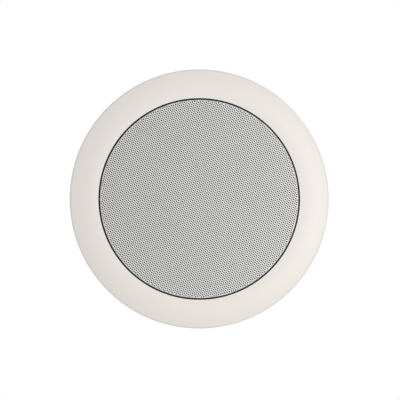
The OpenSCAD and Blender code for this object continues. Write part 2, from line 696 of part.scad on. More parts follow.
module hookup_leads() {
    for (s = [-1, 1]) color(s > 0 ? [0.75, 0.12, 0.10] : [0.12, 0.12, 0.12])
        tube([[s * 5, block_back_y - 4, block_top + 0.2], [s * 5, block_back_y - 3.8, block_top + 1.6],
            [s * 5.4, block_back_y - 2, block_top + 2.9], [s * 6.5, block_back_y + 2, block_top + 2.8],
            [s * 8, -upright_y + 3, lead_top + 0.8], [s * 9, -20, lead_top], [s * 9.5, 0, lead_top],
            [s * 9, 18, lead_top], [s * 8.4, upright_y - 8, lead_top + 1.2], [s * 8, upright_y - 3, lead_top + 2.4],
            [s * 7.6, coil_face_y - 1.5, lead_top + 3.2], [s * 7.5, coil_face_y + 0.4, lead_top + 3.2]],
            lead_d, [1, 0, 0]);
    color([0.90, 0.88, 0.84]) for (lead = tag_leads) tube(lead, lead_d, [-1, 1, 1]);
}

// Clamp: pressed arm, pin and torsion spring, drawn about the pin for the side towards +X
module at_pin(a) {
    rotate([0, 0, a]) translate([pin_x, 0, pin_z]) children();
}

arm_top = coil_mean_r - wire_d / 2 - 0.1;
module arm_cheek() {
    circle(r = 2.7, $fn = 48);
    polygon([[0, -arm_half], [arm_l - 3, -arm_half], [arm_l - 1, arm_top - 1], [arm_l - 1, arm_top], [0, arm_top]]);
}

module clamp_arm() {
    pad = arc([arm_l - 1.6, arm_top - arm_t - 1.4], 1.4 + arm_t, 90, -60, 8);
    rotate([0, arm_rest, 0]) difference() {
        union() {
            for (s = [-1, 1]) translate([0, s > 0 ? arm_w / 2 : -arm_w / 2 + arm_t, 0]) rotate([90, 0, 0])
                linear_extrude(arm_t) arm_cheek();
            translate([0, arm_w / 2, 0]) rotate([90, 0, 0]) linear_extrude(arm_w)
                polygon(sheet(concat([[coil_mean_r + 1.6, arm_top]], pad), -arm_t));
        }
        translate([0, arm_w / 2 + 1, 0]) rotate([90, 0, 0])
            cylinder(d = pin_d + 2 * pin_clear, h = arm_w + 2, $fn = 48);
    }
}

module clamp_arm_right() {
    color([0.72, 0.73, 0.74]) at_pin(0) clamp_arm();
}

module clamp_arm_left() {
    color([0.72, 0.73, 0.74]) at_pin(180) clamp_arm();
}

// Steel pin with chamfered ends
module clamp_pin() {
    half = tower_w / 2 + cheek_t;
    translate([0, half + 0.4, 0]) rotate([90, 0, 0]) cylinder(d = pin_d, h = 2 * half + 0.8, $fn = 48);
    for (s = [-1, 1]) translate([0, s * (half + 0.4), 0]) rotate([-90 * s, 0, 0])
        cylinder(d1 = pin_d, d2 = pin_d - 0.6, h = 0.3, $fn = 48);
}

module clamp_pin_right() {
    color([0.66, 0.67, 0.68]) at_pin(0) clamp_pin();
}

module clamp_pin_left() {
    color([0.66, 0.67, 0.68]) at_pin(180) clamp_pin();
}

// Torsion spring: one leg lies on the tower's floor, the other presses on the arm
coil_pitch = wire_d + 0.12;
spring_half = spring_turns * coil_pitch / 2;
arm_leg_l = 11;
function spring_point(t) = [-coil_mean_r * cos(t * 360), -spring_half + t * coil_pitch, coil_mean_r * sin(t * 360)];
module clamp_spring() {
    turns = spring_turns - 0.25 + arm_rest / 360;
    steps = ceil(turns * 14);
    start = spring_point(0);
    last = spring_point(turns);
    tip = [cos(arm_rest), 0, -sin(arm_rest)];
    foot = start - [0, 0, coil_mean_r];
    tube(concat([foot - [floor_leg_l, 0, 0], foot - [0.5, 0, 0], foot + [0, 0, 0.5]],
        [for (k = [0:steps]) spring_point(turns * k / steps)],
        [last + tip * 0.6, last + tip * arm_leg_l]), wire_d, [0, 1, 0]);
}

module clamp_spring_right() {
    color([0.55, 0.56, 0.58]) at_pin(0) clamp_spring();
}

module clamp_spring_left() {
    color([0.55, 0.56, 0.58]) at_pin(180) clamp_spring();
}

bezel_frame();
grille();
driver_gasket();
basket();
driver_screws();
surround();
cone();
whizzer_cone();
dust_cap();
coil_former();
voice_coil();
spider();
top_plate();
magnet();
yoke();
tag_board();
solder_tags();
tinsel_leads();
rear_bracket();
bracket_screw();
transformer_core();
transformer_bobbin();
transformer_winding();
transformer_strap();
transformer_screws();
terminal_block();
terminal_screws();
hookup_leads();
clamp_arm_right();
clamp_arm_left();
clamp_pin_right();
clamp_pin_left();
clamp_spring_right();
clamp_spring_left();
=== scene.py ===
# %% [markdown]
# # A flush-mount ceiling loudspeaker
# The object is a round loudspeaker that sits in a hole in a ceiling. From the room one sees a broad
# moulded ring and a perforated steel grille. Above the ceiling there is a small paper-cone driver,
# a line transformer, a terminal block and two sprung clamps. The solid parts come from the CAD
# model as a fixed frame. This script gives each of them a finish, and makes anew only the pieces
# that CAD draws coarsely: the fine holes of the grille, the cloth parts, the springs and the leads.

import math

import bpy
import numpy as np
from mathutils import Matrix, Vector
from mathutils.geometry import delaunay_2d_cdt


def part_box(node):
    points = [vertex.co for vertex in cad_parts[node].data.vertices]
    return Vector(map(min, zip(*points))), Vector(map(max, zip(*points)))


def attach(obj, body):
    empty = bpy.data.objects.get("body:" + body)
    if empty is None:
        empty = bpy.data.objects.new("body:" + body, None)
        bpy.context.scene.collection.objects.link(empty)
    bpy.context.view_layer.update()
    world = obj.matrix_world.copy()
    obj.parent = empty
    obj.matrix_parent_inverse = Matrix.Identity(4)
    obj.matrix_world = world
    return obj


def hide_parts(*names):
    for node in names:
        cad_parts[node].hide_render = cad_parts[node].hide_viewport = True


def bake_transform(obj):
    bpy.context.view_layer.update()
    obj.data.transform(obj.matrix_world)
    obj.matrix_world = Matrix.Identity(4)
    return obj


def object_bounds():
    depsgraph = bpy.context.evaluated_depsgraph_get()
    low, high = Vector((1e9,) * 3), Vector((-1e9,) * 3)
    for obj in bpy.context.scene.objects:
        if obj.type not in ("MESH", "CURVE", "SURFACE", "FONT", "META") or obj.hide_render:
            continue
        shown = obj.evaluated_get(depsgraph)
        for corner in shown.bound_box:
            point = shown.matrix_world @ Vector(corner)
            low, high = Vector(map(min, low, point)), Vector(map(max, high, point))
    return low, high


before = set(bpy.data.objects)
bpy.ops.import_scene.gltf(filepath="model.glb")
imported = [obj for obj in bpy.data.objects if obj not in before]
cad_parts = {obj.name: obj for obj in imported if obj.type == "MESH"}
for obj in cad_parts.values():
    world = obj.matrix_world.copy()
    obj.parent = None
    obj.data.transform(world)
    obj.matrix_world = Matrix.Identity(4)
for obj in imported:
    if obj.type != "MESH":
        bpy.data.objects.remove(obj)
cad_low, cad_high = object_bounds()
MM = 0.001
print("CAD box in mm:", [round((b - a) / MM, 1) for a, b in zip(cad_low, cad_high)])

# %% [markdown]
# ## Camera
# The photograph looks straight up at the ceiling. In the shared frame the ceiling is towards +Z, so
# the camera stands below and looks along +Z, with the photograph's top towards -Y. A long lens from
# one metre away keeps the circles round. A turn of half a circle about X gives just that view. The
# ring is a touch off the picture's centre in the photograph, so the camera is shifted by as much.

# %% Camera below the face
SENSOR = 36.0
CAMERA_DISTANCE = 1.0
RING_WIDTH_IN_PICTURE = 260.1 / 400
SHIFT_X, SHIFT_Y = 0.6 * MM, 0.8 * MM
ring_width = cad_high.x - cad_low.x
camera_data = bpy.data.cameras.new("camera")
camera_data.sensor_width = SENSOR
camera_data.lens = RING_WIDTH_IN_PICTURE * SENSOR * CAMERA_DISTANCE / ring_width
camera = bpy.data.objects.new("camera", camera_data)
camera.location = (SHIFT_X, SHIFT_Y, -CAMERA_DISTANCE)
camera.rotation_euler = (math.pi, 0, 0)
bpy.context.scene.collection.objects.link(camera)
bpy.context.scene.camera = camera
print("lens in mm:", round(camera_data.lens, 1))

# %% [markdown]
# ## Node helpers
# The world and every finish are node trees. Three short helpers keep them readable: one places a
# node, one sets a socket or links it, and one makes a step of arithmetic. Two more give what most
# patterns here start from: the place on the object, and the distance from the speaker's axis.

# %% Helpers for node trees
def place(tree, kind, **settings):
    node = tree.nodes.new(kind)
    for key, value in settings.items():
        setattr(node, key, value)
    return node


def feed(tree, source, target):
    if isinstance(source, (int, float, tuple, list)):
        target.default_value = source
    else:
        tree.links.new(source, target)


def math_step(tree, operation, *values):
    node = place(tree, "ShaderNodeMath", operation=operation)
    for value, socket in zip(values, node.inputs):
        feed(tree, value, socket)
    return node.outputs[0]


def object_axes(tree):
    """The object coordinates as one vector, and split in X, Y and Z."""
    where = place(tree, "ShaderNodeTexCoord").outputs["Object"]
    axes = place(tree, "ShaderNodeSeparateXYZ")
    feed(tree, where, axes.inputs[0])
    return where, axes.outputs


def axis_distance(tree, axes):
    squares = [math_step(tree, "MULTIPLY", axes[name], axes[name]) for name in ("X", "Y")]
    return math_step(tree, "SQRT", math_step(tree, "ADD", *squares))


print("node helpers ready")

# %% [markdown]
# ## Light
# In the photograph the right half of the ring is lighter than the left, and the background is plain
# white. One disc lamp stands close before the right half of the face, so that its light falls off
# towards the left. A second, larger lamp lights the pieces on the ceiling's side. The world is
# white where the camera or a polished surface sees it, and a weaker even light everywhere else.

# %% Lamps and world
ROOM_LIGHT = 0.67


def area_lamp(name, position, size, power):
    data = bpy.data.lights.new(name, "AREA")
    data.shape = "DISK"
    data.size = size
    data.energy = power
    lamp = bpy.data.objects.new(name, data)
    lamp.location = position
    lamp.rotation_euler = (-Vector(position)).to_track_quat("-Z", "Y").to_euler()
    lamp.visible_camera = False
    bpy.context.scene.collection.objects.link(lamp)
    return lamp


area_lamp("key_lamp", (0.17, 0.01, -0.36), size=0.30, power=0.63)
area_lamp("rear_key_lamp", (0.75, -0.65, 0.95), size=0.6, power=3.2)

world = bpy.data.worlds.new("white_room")
bpy.context.scene.world = world
world.use_nodes = True
tree = world.node_tree
tree.nodes.clear()
rays = place(tree, "ShaderNodeLightPath").outputs
seen = math_step(tree, "MAXIMUM", rays["Is Camera Ray"], rays["Is Glossy Ray"])
seen = math_step(tree, "MAXIMUM", seen, rays["Is Transmission Ray"])
strength = place(tree, "ShaderNodeMapRange")
strength.inputs["To Min"].default_value = ROOM_LIGHT
strength.inputs["To Max"].default_value = 1.0
background = place(tree, "ShaderNodeBackground")
background.inputs["Color"].default_value = (1, 1, 1, 1)
world_out = place(tree, "ShaderNodeOutputWorld")
feed(tree, seen, strength.inputs["Value"])
feed(tree, strength.outputs["Result"], background.inputs["Strength"])
feed(tree, background.outputs["Background"], world_out.inputs["Surface"])
bpy.context.scene.view_settings.view_transform = "Standard"

# %% [markdown]
# ## Shader building blocks
# Real surfaces are never one flat colour. Each effect is a node group, built once for any finish
# that needs it: slow drift of the tone, fine grain, rings about the axis, woven cloth, the edges of
# stacked sheets, and rubbed edges. A group only puts out values and colours. The shader itself
# stays in each material, so that the finish can be read and changed there.

# %% Helper: a new node group
def new_group(name, inputs, outputs):
    group = bpy.data.node_groups.new(name, "ShaderNodeTree")
    for label, kind, value in inputs:
        socket = group.interface.new_socket(name=label, in_out="INPUT", socket_type="NodeSocket" + kind)
        socket.default_value = value
    for label, kind in outputs:
        group.interface.new_socket(name=label, in_out="OUTPUT", socket_type="NodeSocket" + kind)
    return group, group.nodes.new("NodeGroupInput"), group.nodes.new("NodeGroupOutput")


print("group helper ready")

# %% [markdown]
# Tone drift: batches of plastic, paint and plating vary a little from place to place. A slow noise
# with finer detail in it mixes a second colour into the first.

# %% Group: tone drift
def make_tone_drift():
    group, gin, gout = new_group(
        "tone_drift",
        [("Base", "Color", (0.8, 0.8, 0.8, 1)), ("Second", "Color", (0.7, 0.7, 0.7, 1)),
         ("Scale", "Float", 20.0), ("Contrast", "Float", 0.35)],
        [("Color", "Color")],
    )
    where = place(group, "ShaderNodeTexCoord")
    slow = place(group, "ShaderNodeTexNoise")
    slow.inputs["Detail"].default_value = 5.0
    feed(group, where.outputs["Object"], slow.inputs["Vector"])
    feed(group, gin.outputs["Scale"], slow.inputs["Scale"])
    spread = place(group, "ShaderNodeMapRange")
    low = math_step(group, "SUBTRACT", 0.5, gin.outputs["Contrast"])
    high = math_step(group, "ADD", 0.5, gin.outputs["Contrast"])
    feed(group, slow.outputs["Fac"], spread.inputs["Value"])
    feed(group, low, spread.inputs["From Min"])
    feed(group, high, spread.inputs["From Max"])
    mix = place(group, "ShaderNodeMix", data_type="RGBA")
    feed(group, spread.outputs["Result"], mix.inputs[0])
    feed(group, gin.outputs["Base"], mix.inputs[6])
    feed(group, gin.outputs["Second"], mix.inputs[7])
    feed(group, mix.outputs[2], gout.inputs["Color"])
    return group


TONE_DRIFT = make_tone_drift()
print("group:", TONE_DRIFT.name)

# %% [markdown]
# Fine grain: spark-eroded moulds leave a fine grain in plastic, powder paint is baked to an
# orange-peel skin, and ferrite is rough. One group covers all of them. Its Stretch input scales the
# grain along each axis, which turns it into brushed or rolled lines.

# %% Group: fine grain
def make_fine_grain():
    group, gin, gout = new_group(
        "fine_grain",
        [("Scale", "Float", 1500.0), ("Detail", "Float", 3.0), ("Stretch", "Vector", (1, 1, 1))],
        [("Height", "Float")],
    )
    where = place(group, "ShaderNodeTexCoord")
    stretch = place(group, "ShaderNodeVectorMath", operation="MULTIPLY")
    feed(group, where.outputs["Object"], stretch.inputs[0])
    feed(group, gin.outputs["Stretch"], stretch.inputs[1])
    grain = place(group, "ShaderNodeTexNoise")
    feed(group, stretch.outputs[0], grain.inputs["Vector"])
    feed(group, gin.outputs["Scale"], grain.inputs["Scale"])
    feed(group, gin.outputs["Detail"], grain.inputs["Detail"])
    feed(group, grain.outputs["Fac"], gout.inputs["Height"])
    return group


FINE_GRAIN = make_fine_grain()
print("group:", FINE_GRAIN.name)

# %% [markdown]
# Rings: the plates, the cone and the coil are turned, pressed or wound about the speaker's axis.
# The group measures the distance from that axis and the height along it, and makes fine rings from
# either.

# %% Group: rings about the axis
def make_axis_rings():
    group, gin, gout = new_group(
        "axis_rings",
        [("Pitch", "Float", 0.0004), ("Along Axis", "Float", 0.0), ("Irregular", "Float", 0.5)],
        [("Height", "Float")],
    )
    _, axes = object_axes(group)
    pick = place(group, "ShaderNodeMix", data_type="FLOAT")
    feed(group, gin.outputs["Along Axis"], pick.inputs[0])
    feed(group, axis_distance(group, axes), pick.inputs[2])
    feed(group, axes["Z"], pick.inputs[3])
    turns = math_step(group, "DIVIDE", pick.outputs[0], gin.outputs["Pitch"])
    even = math_step(group, "SINE", math_step(group, "MULTIPLY", turns, 2 * math.pi))
    even = math_step(group, "MULTIPLY_ADD", even, 0.5, 0.5)
    loose = place(group, "ShaderNodeTexNoise", noise_dimensions="1D")
    loose.inputs["Scale"].default_value = 1.0
    feed(group, turns, loose.inputs["W"])
    blend = place(group, "ShaderNodeMix", data_type="FLOAT")
    feed(group, gin.outputs["Irregular"], blend.inputs[0])
    feed(group, even, blend.inputs[2])
    feed(group, loose.outputs["Fac"], blend.inputs[3])
    feed(group, blend.outputs[0], gout.inputs["Height"])
    return group


AXIS_RINGS = make_axis_rings()
print("group:", AXIS_RINGS.name)

# %% [markdown]
# Cloth: the surround and the spider are woven cotton, stiffened with resin. Seen on a round piece,
# the threads run along two straight directions, because the disc is cut from flat cloth.

# %% Group: woven cloth
def make_woven_cloth():
    group, gin, gout = new_group(
        "woven_cloth", [("Thread", "Float", 0.0005)], [("Height", "Float")]
    )
    _, axes = object_axes(group)
    waves = []
    for name in ("X", "Y"):
        turns = math_step(group, "DIVIDE", axes[name], gin.outputs["Thread"])
        waves.append(math_step(group, "SINE", math_step(group, "MULTIPLY", turns, math.pi)))
    crossing = math_step(group, "MULTIPLY", waves[0], waves[1])
    feed(group, math_step(group, "MULTIPLY_ADD", crossing, 0.5, 0.5), gout.inputs["Height"])
    return group


WOVEN_CLOTH = make_woven_cloth()
print("group:", WOVEN_CLOTH.name)

# %% [markdown]
# Sheet edges: the transformer's core is a stack of thin plates. Their edges show as fine lines that
# run across the stack.

# %% Group: stacked sheets
def make_stacked_sheets():
    group, gin, gout = new_group(
        "stacked_sheets", [("Pitch", "Float", 0.0005)], [("Height", "Float")]
    )
    _, axes = object_axes(group)
    turns = math_step(group, "DIVIDE", axes["Y"], gin.outputs["Pitch"])
    feed(group, math_step(group, "PINGPONG", turns, 1.0), gout.inputs["Height"])
    return group


STACKED_SHEETS = make_stacked_sheets()
print("group:", STACKED_SHEETS.name)

# %% [markdown]
# Rubbed edges: handling takes the paint and the shine off convex edges first. A Bevel node rounds
# the normal near an edge. Where that rounded normal leaves the true one, there is an edge.

# %% Group: rubbed edges
RUB_WIDTH = 0.5
RUB_GAIN = 6.0


def make_rubbed_edges():
    group, gin, gout = new_group(
        "rubbed_edges", [("Amount", "Float", 1.0)], [("Mask", "Float")]
    )
    bevel = place(group, "ShaderNodeBevel", samples=4)
    bevel.inputs["Radius"].default_value = RUB_WIDTH * MM
    shape = place(group, "ShaderNodeNewGeometry")
    same = place(group, "ShaderNodeVectorMath", operation="DOT_PRODUCT")
    feed(group, bevel.outputs[0], same.inputs[0])
    feed(group, shape.outputs["Normal"], same.inputs[1])
    away = math_step(group, "SUBTRACT", 1.0, same.outputs["Value"])
    patchy = place(group, "ShaderNodeTexNoise")
    patchy.inputs["Scale"].default_value = 400.0
    where = place(group, "ShaderNodeTexCoord")
    feed(group, where.outputs["Object"], patchy.inputs["Vector"])
    strong = math_step(group, "MULTIPLY", away, RUB_GAIN)
    worn = math_step(group, "MULTIPLY", strong, patchy.outputs["Fac"])
    scaled = place(group, "ShaderNodeMath", operation="MULTIPLY", use_clamp=True)
    feed(group, worn, scaled.inputs[0])
    feed(group, gin.outputs["Amount"], scaled.inputs[1])
    feed(group, scaled.outputs[0], gout.inputs["Mask"])
    return group


RUBBED_EDGES = make_rubbed_edges()
print("group:", RUBBED_EDGES.name)

# %% [markdown]
# ## Finishes
# Each finish is one material. The helper places the groups with the finish's own values and wires
# them to a Principled shader: drift, pattern and rubbed edges to the colour, grain to the roughness,
# and grain and pattern to the bump. Numbers that are the same all over go straight onto the
# shader's sockets.

# %% Helper: a finish
ROUGH_SWING = 0.12
GRAIN_SHARE = 0.4


def finish(name, base, second, rough, metallic=0.0, drift=25.0, contrast=0.35, grain=1500.0,
           detail=3.0, stretch=(1, 1, 1), bump=0.05, depth=0.0001, pattern=None, edge=None,
           edge_amount=1.0, sheen=0.0, coat=0.0, pattern_tint=0.0):
    material = bpy.data.materials.new(name)
    material.use_nodes = True
    tree = material.node_tree
    shader = tree.nodes["Principled BSDF"]
    shader.inputs["Metallic"].default_value = metallic
    shader.inputs["Sheen Weight"].default_value = sheen
    shader.inputs["Coat Weight"].default_value = coat

    tone = place(tree, "ShaderNodeGroup", node_tree=TONE_DRIFT)
    tone.inputs["Base"].default_value = (*base, 1)
    tone.inputs["Second"].default_value = (*second, 1)
    tone.inputs["Scale"].default_value = drift
    tone.inputs["Contrast"].default_value = contrast
    colour = tone.outputs["Color"]

    fine = place(tree, "ShaderNodeGroup", node_tree=FINE_GRAIN)
    fine.inputs["Scale"].default_value = grain
    fine.inputs["Detail"].default_value = detail
    fine.inputs["Stretch"].default_value = stretch
    height = fine.outputs["Height"]

    if pattern:
        group, values = pattern
        extra = place(tree, "ShaderNodeGroup", node_tree=group)
        for key, value in values.items():
            extra.inputs[key].default_value = value
        height = math_step(tree, "MULTIPLY", height, GRAIN_SHARE)
        height = math_step(tree, "ADD", height, extra.outputs["Height"])
        if pattern_tint:
            shade = place(tree, "ShaderNodeMix", data_type="RGBA", blend_type="MULTIPLY")
            shade.inputs[0].default_value = pattern_tint
            feed(tree, colour, shade.inputs[6])
            feed(tree, extra.outputs["Height"], shade.inputs[7])
            colour = shade.outputs[2]

    if edge:
        rub = place(tree, "ShaderNodeGroup", node_tree=RUBBED_EDGES)
        rub.inputs["Amount"].default_value = edge_amount
        worn = place(tree, "ShaderNodeMix", data_type="RGBA")
        worn.inputs[7].default_value = (*edge, 1)
        feed(tree, rub.outputs["Mask"], worn.inputs[0])
        feed(tree, colour, worn.inputs[6])
        colour = worn.outputs[2]

    gloss = place(tree, "ShaderNodeMapRange")
    gloss.inputs["To Min"].default_value = max(rough - ROUGH_SWING, 0.02)
    gloss.inputs["To Max"].default_value = min(rough + ROUGH_SWING, 1.0)
    relief = place(tree, "ShaderNodeBump")
    relief.inputs["Strength"].default_value = bump
    relief.inputs["Distance"].default_value = depth
    feed(tree, fine.outputs["Height"], gloss.inputs["Value"])
    feed(tree, height, relief.inputs["Height"])
    feed(tree, colour, shader.inputs["Base Color"])
    feed(tree, gloss.outputs["Result"], shader.inputs["Roughness"])
    feed(tree, relief.outputs["Normal"], shader.inputs["Normal"])
    return material


print("finish helper ready")

# %% [markdown]
# The two finishes that face the room come first. The ring is moulded plastic, taken to be ABS, in a
# warm white with a fine satin grain. The grille is steel sheet with a cool white powder paint,
# whose skin is slightly uneven, like orange peel.

# %% Finishes on the room's side
bezel_plastic = finish("bezel_plastic", (0.80, 0.758, 0.716), (0.785, 0.740, 0.694), 0.42, drift=14,
                       grain=2600, detail=4, bump=0.10, depth=0.00006,
                       edge=(0.84, 0.82, 0.785), edge_amount=0.4)
grille_paint = finish("grille_paint", (0.80, 0.805, 0.785), (0.775, 0.78, 0.76), 0.46, drift=30,
                      grain=900, detail=2, bump=0.12, depth=0.00008)
print("room side:", bezel_plastic.name, grille_paint.name)

# %% [markdown]
# The photograph shows dark holes right up to the grille's edge, and a dark gap round it. The shade
# in the recess behind the grille is painted here: the ledge is coloured black, so that nothing pale
# shows through the holes. This painted shade is part of the moulding's own material: a mask by
# radius and height turns the plastic's colour black inside the recess. A little noise makes its border
# soft and uneven.

# %% Painted shade: black inside the recess
SPECKLE_H, FADE_H = 0.8, 0.5
# The black of the painted shade in the recess.
RECESS_SHADE_BLACK = (0.018, 0.018, 0.019, 1)


# Painted shade: turns the plastic's colour black inside the recess behind the grille.
def paint_recess_shade(material, radius, front, back):
    tree = material.node_tree
    shader = tree.nodes["Principled BSDF"]
    plain = shader.inputs["Base Color"].links[0].from_socket
    where, axes = object_axes(tree)
    inside = math_step(tree, "LESS_THAN", axis_distance(tree, axes), radius * MM)
    speckle = place(tree, "ShaderNodeTexNoise")
    speckle.inputs["Scale"].default_value = 900.0
    feed(tree, where, speckle.inputs["Vector"])
    height = math_step(tree, "MULTIPLY_ADD", speckle.outputs["Fac"], SPECKLE_H * MM, axes["Z"])
    starts = place(tree, "ShaderNodeMapRange")
    starts.inputs["From Min"].default_value = front * MM
    starts.inputs["From Max"].default_value = (front + FADE_H) * MM
    feed(tree, height, starts.inputs["Value"])
    ends = math_step(tree, "LESS_THAN", axes["Z"], back * MM)
    mask = math_step(tree, "MULTIPLY", inside, starts.outputs["Result"])
    mask = math_step(tree, "MULTIPLY", mask, ends)
    paint = place(tree, "ShaderNodeMix", data_type="RGBA")
    paint.inputs[7].default_value = RECESS_SHADE_BLACK
    feed(tree, mask, paint.inputs[0])
    feed(tree, plain, paint.inputs[6])
    feed(tree, paint.outputs[2], shader.inputs["Base Color"])


# Painted shade: black on the surfaces of the recess behind the grille and round it.
paint_recess_shade(bezel_plastic, radius=77.6, front=2.0, back=8.7)
print("recess shade painted black")

# %% [markdown]
# Behind the ceiling nothing is made to be looked at, but every surface shows how it was made:
# black enamel on the pressed basket, lathe lines on the zinc-plated plates, dull grey ferrite,
# rolled and plated sheet, pulp paper, and cloth in brown resin.

# %% Finishes behind the ceiling
basket_paint = finish("basket_paint", (0.014, 0.014, 0.016), (0.024, 0.023, 0.024), 0.30, drift=35,
                      grain=1100, detail=3, bump=0.18, edge=(0.13, 0.125, 0.12), edge_amount=0.6)
plate_steel = finish("plate_steel", (0.37, 0.375, 0.38), (0.27, 0.275, 0.28), 0.30, metallic=1.0,
                     grain=1800, bump=0.30, pattern=(AXIS_RINGS, {"Pitch": 0.0006, "Irregular": 0.8}),
                     pattern_tint=0.35, edge=(0.66, 0.66, 0.66), edge_amount=0.7)
ferrite = finish("ferrite", (0.075, 0.076, 0.080), (0.11, 0.108, 0.108), 0.62, drift=45, grain=2400,
                 detail=5, bump=0.30, depth=0.0002, edge=(0.20, 0.20, 0.205), edge_amount=0.8)
zinc_sheet = finish("zinc_sheet", (0.42, 0.425, 0.41), (0.30, 0.31, 0.31), 0.32, metallic=1.0,
                    drift=90, contrast=0.14, grain=420, detail=4, stretch=(1, 14, 14), bump=0.22,
                    edge=(0.70, 0.70, 0.70), edge_amount=0.8)
zinc_screw = finish("zinc_screw", (0.46, 0.46, 0.44), (0.40, 0.38, 0.31), 0.28, metallic=1.0,
                    drift=160, grain=4000, bump=0.12, edge=(0.74, 0.74, 0.73), edge_amount=0.8)
pin_steel = finish("pin_steel", (0.44, 0.44, 0.45), (0.36, 0.36, 0.37), 0.22, metallic=1.0,
                   grain=1500, stretch=(14, 1, 14), bump=0.08, edge=(0.8, 0.8, 0.8))
spring_wire = finish("spring_wire", (0.42, 0.42, 0.43), (0.34, 0.34, 0.345), 0.30, metallic=1.0,
                     drift=140, grain=3000, bump=0.10)
core_iron = finish("core_iron", (0.15, 0.145, 0.14), (0.22, 0.20, 0.18), 0.45, metallic=0.6,
                   drift=120, grain=2000, bump=0.5, depth=0.00015,
                   pattern=(STACKED_SHEETS, {"Pitch": 0.0005}), pattern_tint=0.6,
                   edge=(0.34, 0.33, 0.32))
print("metals and enamels:", len(bpy.data.materials))

# %% Finishes of plastic, paper and cloth
gasket_foam = finish("gasket_foam", (0.035, 0.035, 0.037), (0.06, 0.06, 0.06), 0.90, drift=300,
                     grain=1400, detail=2, bump=0.8, depth=0.0003)
cone_paper = finish("cone_paper", (0.030, 0.030, 0.031), (0.052, 0.050, 0.048), 0.85, drift=60,
                    grain=2200, detail=5, bump=0.35, depth=0.0002, sheen=0.15,
                    pattern=(AXIS_RINGS, {"Pitch": 0.004, "Irregular": 0.1}))
whizzer_paper = finish("whizzer_paper", (0.050, 0.048, 0.046), (0.075, 0.071, 0.066), 0.80, drift=120,
                       grain=2200, detail=5, bump=0.30, depth=0.0002)
edge_cloth = finish("edge_cloth", (0.040, 0.036, 0.032), (0.065, 0.058, 0.050), 0.55, drift=80,
                    grain=2500, bump=0.7, depth=0.0002, pattern=(WOVEN_CLOTH, {"Thread": 0.0006}))
spider_cloth = finish("spider_cloth", (0.60, 0.37, 0.12), (0.48, 0.27, 0.07), 0.60, drift=90,
                      grain=2500, bump=0.8, depth=0.0002, pattern=(WOVEN_CLOTH, {"Thread": 0.0005}),
                      pattern_tint=0.35)
former_film = finish("former_film", (0.44, 0.28, 0.12), (0.36, 0.21, 0.08), 0.35, drift=150,
                     grain=1500, bump=0.05)
coil_copper = finish("coil_copper", (0.62, 0.25, 0.09), (0.50, 0.18, 0.06), 0.25, metallic=1.0,
                     drift=200, bump=1.0, depth=0.0001,
                     pattern=(AXIS_RINGS, {"Pitch": 0.00018, "Along Axis": 1.0, "Irregular": 0.1}))
tinsel_braid = finish("tinsel_braid", (0.62, 0.36, 0.18), (0.50, 0.27, 0.12), 0.38, metallic=1.0,
                      drift=500, grain=5000, bump=0.8, depth=0.0002)
phenolic_board = finish("phenolic_board", (0.30, 0.13, 0.05), (0.24, 0.095, 0.035), 0.45, drift=90,
                        grain=1400, stretch=(1, 1, 8), bump=0.15, edge=(0.42, 0.24, 0.12))
tinned_metal = finish("tinned_metal", (0.52, 0.52, 0.50), (0.42, 0.42, 0.41), 0.28, metallic=1.0,
                      drift=250, grain=3000, bump=0.15)
bobbin_nylon = finish("bobbin_nylon", (0.78, 0.74, 0.62), (0.72, 0.67, 0.54), 0.45, drift=60,
                      grain=2400, bump=0.08, edge=(0.84, 0.81, 0.72), edge_amount=0.5)
winding_tape = finish("winding_tape", (0.66, 0.44, 0.06), (0.58, 0.36, 0.04), 0.22, drift=110,
                      grain=500, detail=2, stretch=(1, 1, 6), bump=0.25, depth=0.0002, coat=0.4)
block_plastic = finish("block_plastic", (0.74, 0.745, 0.72), (0.70, 0.70, 0.67), 0.34, drift=40,
                       grain=2600, bump=0.06, edge=(0.82, 0.82, 0.80), edge_amount=0.5)
lead_red = finish("lead_red", (0.42, 0.025, 0.02), (0.34, 0.018, 0.015), 0.32, drift=120,
                  grain=1600, bump=0.08)
lead_black = finish("lead_black", (0.022, 0.022, 0.024), (0.034, 0.034, 0.035), 0.32, drift=120,
                    grain=1600, bump=0.08)
lead_white = finish("lead_white", (0.76, 0.74, 0.69), (0.70, 0.67, 0.61), 0.34, drift=120,
                    grain=1600, bump=0.08)
print("finishes:", len(bpy.data.materials))

# %% [markdown]
# ## Dress the CAD solids
# A CAD solid whose shape is already right keeps it and only gets its finish. The table says which
# finish each one wears.

# %% Finishes of the CAD nodes
WEARS = {
    bezel_plastic: ["bezel_frame"],
    gasket_foam: ["driver_gasket"],
    basket_paint: ["basket"],
    zinc_screw: ["driver_screws", "bracket_screw", "transformer_screws", "terminal_screws"],
    cone_paper: ["cone", "dust_cap"],
    whizzer_paper: ["whizzer_cone"],
    former_film: ["coil_former"],
    coil_copper: ["voice_coil"],
    plate_steel: ["top_plate", "yoke"],
    ferrite: ["magnet"],
    phenolic_board: ["tag_board"],
    tinned_metal: ["solder_tags"],
    zinc_sheet: ["rear_bracket", "transformer_strap", "clamp_arm_right", "clamp_arm_left"],
    core_iron: ["transformer_core"],
    bobbin_nylon: ["transformer_bobbin"],
    winding_tape: ["transformer_winding"],
    block_plastic: ["terminal_block"],
    pin_steel: ["clamp_pin_right", "clamp_pin_left"],
}
for material, names in WEARS.items():
    for name in names:
        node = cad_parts[name]
        node.data.materials.clear()
        node.data.materials.append(material)
print("dressed:", sum(len(names) for names in WEARS.values()), "CAD nodes")

# %% [markdown]
# ## Mesh helpers
# New pieces are written as lists of points and faces. One helper turns such lists into an object on
# a body. The others write the lists: one spins a closed section about the speaker's axis, one draws
# a smooth line through a few knots, and one sweeps a round wire along such a line.

# %% Helpers for pieces
SPAN_STEPS = 6


